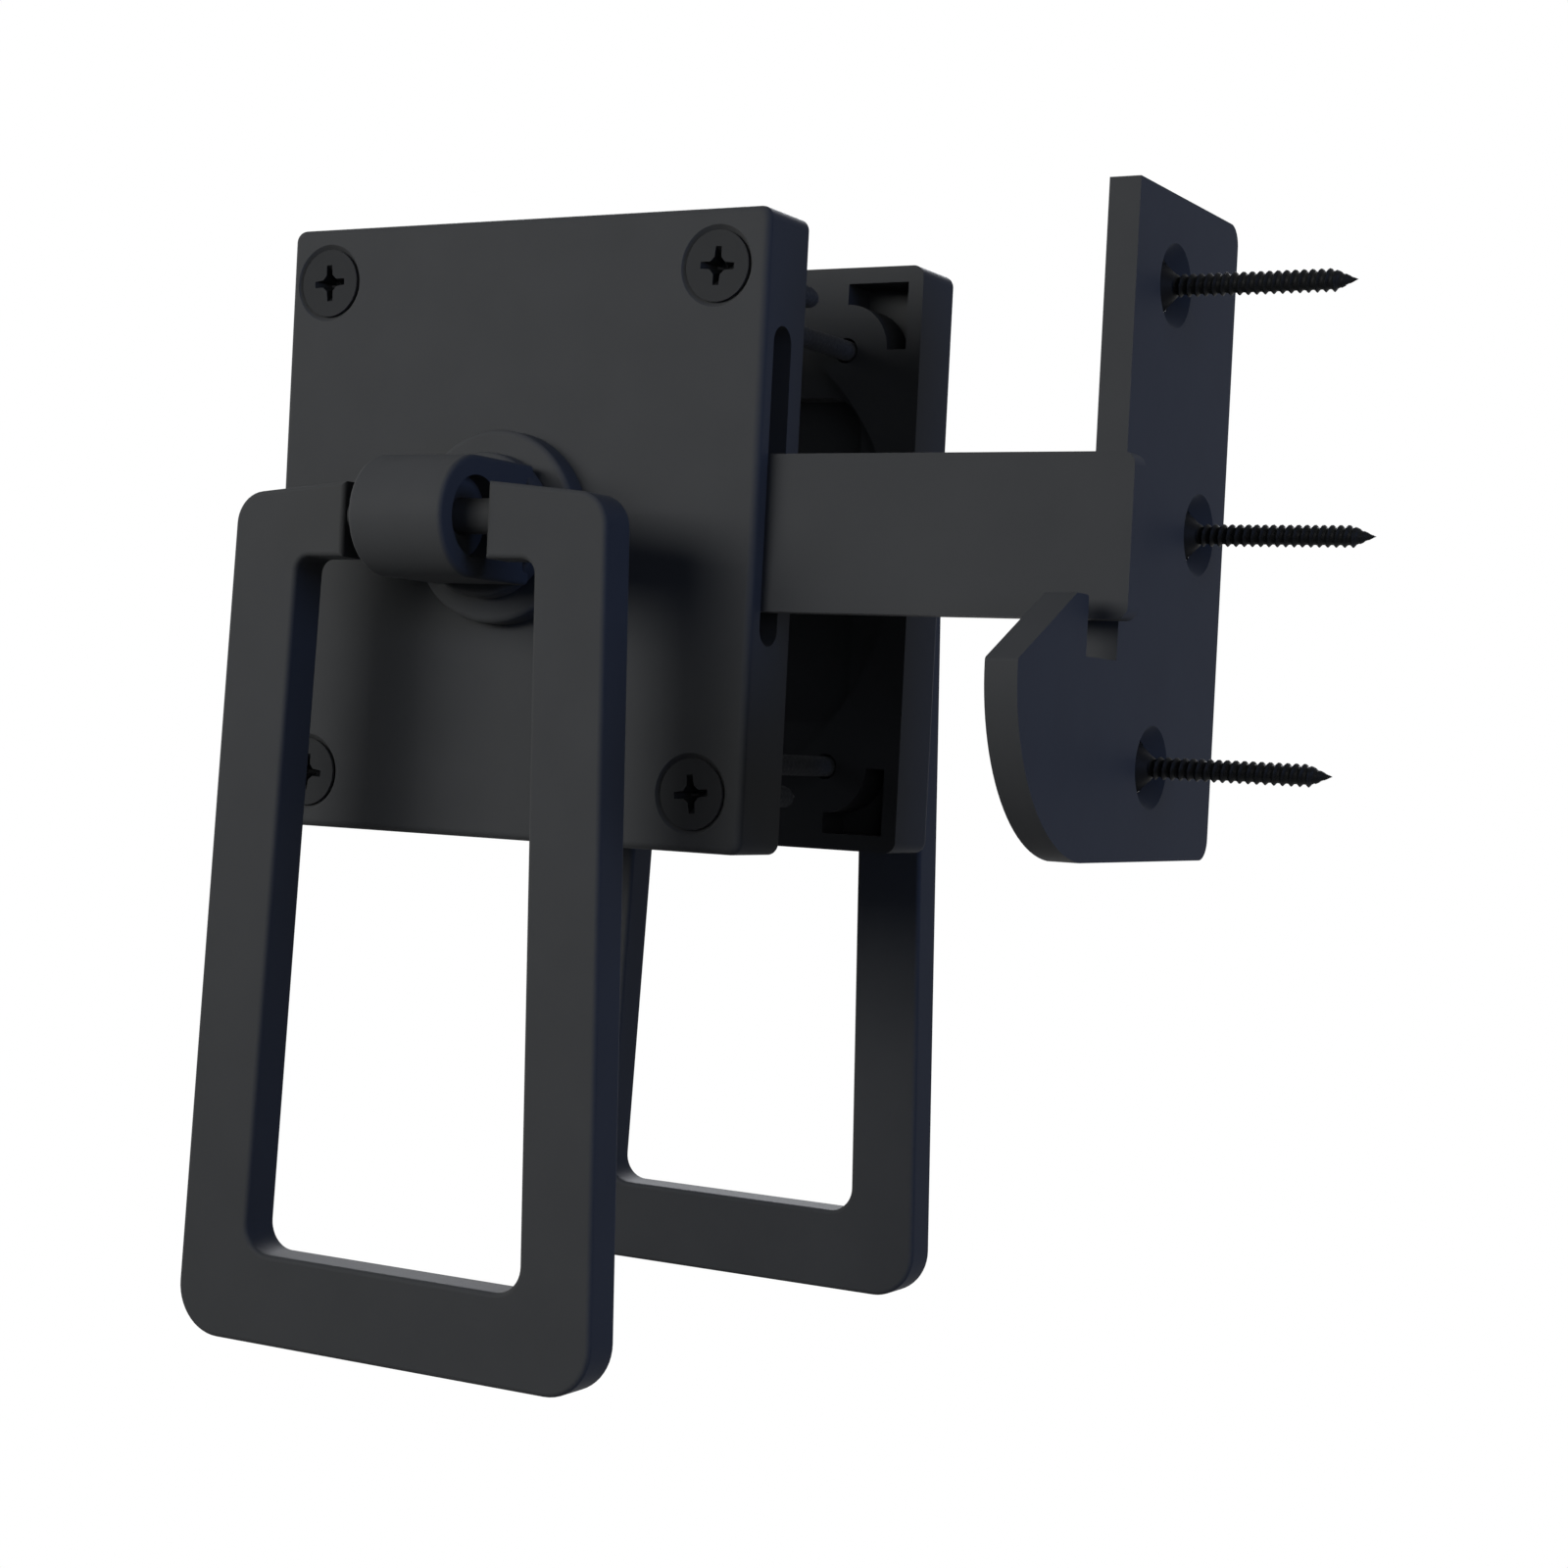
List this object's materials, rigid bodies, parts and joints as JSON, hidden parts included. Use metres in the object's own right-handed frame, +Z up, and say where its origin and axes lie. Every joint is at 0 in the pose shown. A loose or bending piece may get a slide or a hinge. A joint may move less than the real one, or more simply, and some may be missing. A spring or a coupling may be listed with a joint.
{
  "type": "gate latch",
  "caption": "Gate latch with a hinged ring pull on each side of the gate, a pivoting bar lifted by a cam, and a strike plate with a ramped hook.",
  "frame": {"origin": "on the spindle's axis, in the plane of the front case's gate side, which is the front face of the gate", "axes": "+X along the latch bar toward the post, +Y through the gate toward its rear, +Z up"},
  "size_m": [0.1344, 0.0958, 0.1405],
  "materials": {
    "black_coat": "matte black powder coat on cast metal",
    "black_screw": "black coated steel screw",
    "zinc_steel": "zinc plated steel"
  },
  "bodies": {
    "mounting": {"front_case": "black_coat", "rear_case": "black_coat", "bar_pivot_pin": "zinc_steel", "pivot_washer": "zinc_steel", "strike_plate": "black_coat", "strike_screw_1": "black_screw", "strike_screw_2": "black_screw", "strike_screw_3": "black_screw", "front_case_screw_1": "black_screw", "front_case_screw_2": "black_screw", "front_case_screw_3": "black_screw", "front_case_screw_4": "black_screw", "rear_case_screw_1": "black_screw", "rear_case_screw_2": "black_screw", "rear_case_screw_3": "black_screw", "rear_case_screw_4": "black_screw"},
    "handle": {"front_hub": "black_coat", "spindle": "zinc_steel", "lifter_cam": "zinc_steel", "cam_lock_washer": "zinc_steel", "rear_hub": "black_coat", "rear_snap_ring": "zinc_steel"},
    "latch_bar": {"latch_bar": "black_coat"},
    "front_ring": {"front_ring": "black_coat"},
    "rear_ring": {"rear_ring": "black_coat"}
  },
  "joints": [
    {"name": "handle_turn", "type": "hinge", "parent": "mounting", "child": "handle", "pos_m": [0, 0, 0], "axis": [0, -1, 0], "range_deg": [0, 40]},
    {"name": "latch_bar_lift", "type": "hinge", "parent": "mounting", "child": "latch_bar", "pos_m": [-0.026, -0.00505, 0], "axis": [0, -1, 0], "range_deg": [0, 13]},
    {"name": "front_ring_swing", "type": "hinge", "parent": "handle", "child": "front_ring", "pos_m": [0, -0.0252, 0], "axis": [1, 0, 0], "range_deg": [-190, 14]},
    {"name": "rear_ring_swing", "type": "hinge", "parent": "handle", "child": "rear_ring", "pos_m": [0, 0.0562, 0], "axis": [-1, 0, 0], "range_deg": [-190, 14]}
  ],
  "couplings": [
    {"joint": "latch_bar_lift", "follows": "handle_turn", "ratio": 0.325}
  ]
}
